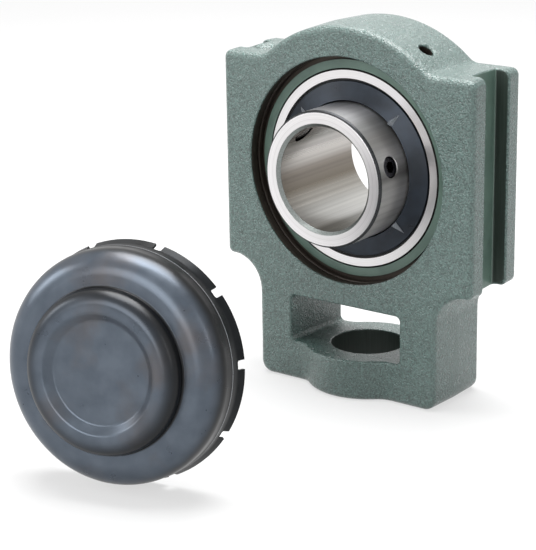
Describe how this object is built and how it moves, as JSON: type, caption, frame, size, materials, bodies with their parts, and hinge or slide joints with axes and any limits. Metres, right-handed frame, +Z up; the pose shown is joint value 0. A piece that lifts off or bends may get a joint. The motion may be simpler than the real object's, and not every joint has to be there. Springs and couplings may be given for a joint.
{
  "type": "take-up bearing unit",
  "caption": "Take-up ball bearing unit: slotted green cast-iron housing, self-aligning insert with set screws, and its closed dust cover taken off beside it.",
  "frame": {"origin": "centre of the bearing, on the shaft axis at the middle of the outer ring's width", "axes": "+X to the right across the guide grooves, +Y from the front face to the back along the shaft, +Z up, away from the foot"},
  "size_m": [0.114, 0.1815, 0.144],
  "materials": {
    "housing_paint": "green paint with a fine orange-peel texture over grey cast iron",
    "ring_steel": "ground bearing steel",
    "pin_steel": "plain bright steel",
    "screw_steel": "black-oxide steel",
    "ball_steel": "polished bearing steel",
    "cage_steel": "plain pressed steel",
    "seal_rubber": "moulded nitrile rubber",
    "slinger_steel": "blue-black phosphated sheet steel",
    "cover_steel": "blue-black phosphated sheet steel"
  },
  "bodies": {
    "housing": {"housing": "housing_paint", "cover_cap": "cover_steel", "cover_clip_ring": "cover_steel"},
    "alignment_pin": {"locking_pin": "pin_steel"},
    "outer_ring": {"outer_ring": "ring_steel", "seal_front": "seal_rubber", "seal_rear": "seal_rubber"},
    "inner_ring": {"inner_ring": "ring_steel", "slinger_front": "slinger_steel", "slinger_rear": "slinger_steel"},
    "cage": {"cage_half_front": "cage_steel", "cage_half_rear": "cage_steel", "cage_rivets": "cage_steel"},
    "set_screw_1": {"set_screw_1": "screw_steel"},
    "set_screw_2": {"set_screw_2": "screw_steel"},
    "ball_1": {"ball_1": "ball_steel"},
    "ball_2": {"ball_2": "ball_steel"},
    "ball_3": {"ball_3": "ball_steel"},
    "ball_4": {"ball_4": "ball_steel"},
    "ball_5": {"ball_5": "ball_steel"},
    "ball_6": {"ball_6": "ball_steel"},
    "ball_7": {"ball_7": "ball_steel"},
    "ball_8": {"ball_8": "ball_steel"},
    "ball_9": {"ball_9": "ball_steel"}
  },
  "joints": [
    {"name": "align_x", "type": "hinge", "parent": "housing", "child": "alignment_pin", "pos_m": [0, 0, 0], "axis": [1, 0, 0], "range_deg": [-2, 2]},
    {"name": "align_z", "type": "hinge", "parent": "alignment_pin", "child": "outer_ring", "pos_m": [0, 0, 0], "axis": [0, 0, 1], "range_deg": [-2, 2]},
    {"name": "inner_spin", "type": "hinge", "parent": "outer_ring", "child": "inner_ring", "pos_m": [0, 0, 0], "axis": [0, 1, 0], "continuous": true},
    {"name": "cage_spin", "type": "hinge", "parent": "outer_ring", "child": "cage", "pos_m": [0, 0, 0], "axis": [0, 1, 0], "continuous": true},
    {"name": "ball_1_spin", "type": "hinge", "parent": "cage", "child": "ball_1", "pos_m": [0, 0, 0.03], "axis": [0, 1, 0], "continuous": true},
    {"name": "ball_2_spin", "type": "hinge", "parent": "cage", "child": "ball_2", "pos_m": [-0.01928, 0, 0.02298], "axis": [0, 1, 0], "continuous": true},
    {"name": "ball_3_spin", "type": "hinge", "parent": "cage", "child": "ball_3", "pos_m": [-0.02954, 0, 0.00521], "axis": [0, 1, 0], "continuous": true},
    {"name": "ball_4_spin", "type": "hinge", "parent": "cage", "child": "ball_4", "pos_m": [-0.02598, 0, -0.015], "axis": [0, 1, 0], "continuous": true},
    {"name": "ball_5_spin", "type": "hinge", "parent": "cage", "child": "ball_5", "pos_m": [-0.01026, 0, -0.02819], "axis": [0, 1, 0], "continuous": true},
    {"name": "ball_6_spin", "type": "hinge", "parent": "cage", "child": "ball_6", "pos_m": [0.01026, 0, -0.02819], "axis": [0, 1, 0], "continuous": true},
    {"name": "ball_7_spin", "type": "hinge", "parent": "cage", "child": "ball_7", "pos_m": [0.02598, 0, -0.015], "axis": [0, 1, 0], "continuous": true},
    {"name": "ball_8_spin", "type": "hinge", "parent": "cage", "child": "ball_8", "pos_m": [0.02954, 0, 0.00521], "axis": [0, 1, 0], "continuous": true},
    {"name": "ball_9_spin", "type": "hinge", "parent": "cage", "child": "ball_9", "pos_m": [0.01928, 0, 0.02298], "axis": [0, 1, 0], "continuous": true},
    {"name": "set_screw_1_travel", "type": "slide", "parent": "inner_ring", "child": "set_screw_1", "axis": [-0.9659, 0, -0.2588], "range_m": [-0.003, 0.0003]},
    {"name": "set_screw_2_travel", "type": "slide", "parent": "inner_ring", "child": "set_screw_2", "axis": [0.7071, 0, -0.7071], "range_m": [-0.003, 0.0003]}
  ],
  "couplings": [
    {"joint": "cage_spin", "follows": "inner_spin", "ratio": 0.4},
    {"joint": "ball_1_spin", "follows": "inner_spin", "ratio": -2.4},
    {"joint": "ball_2_spin", "follows": "inner_spin", "ratio": -2.4},
    {"joint": "ball_3_spin", "follows": "inner_spin", "ratio": -2.4},
    {"joint": "ball_4_spin", "follows": "inner_spin", "ratio": -2.4},
    {"joint": "ball_5_spin", "follows": "inner_spin", "ratio": -2.4},
    {"joint": "ball_6_spin", "follows": "inner_spin", "ratio": -2.4},
    {"joint": "ball_7_spin", "follows": "inner_spin", "ratio": -2.4},
    {"joint": "ball_8_spin", "follows": "inner_spin", "ratio": -2.4},
    {"joint": "ball_9_spin", "follows": "inner_spin", "ratio": -2.4}
  ]
}
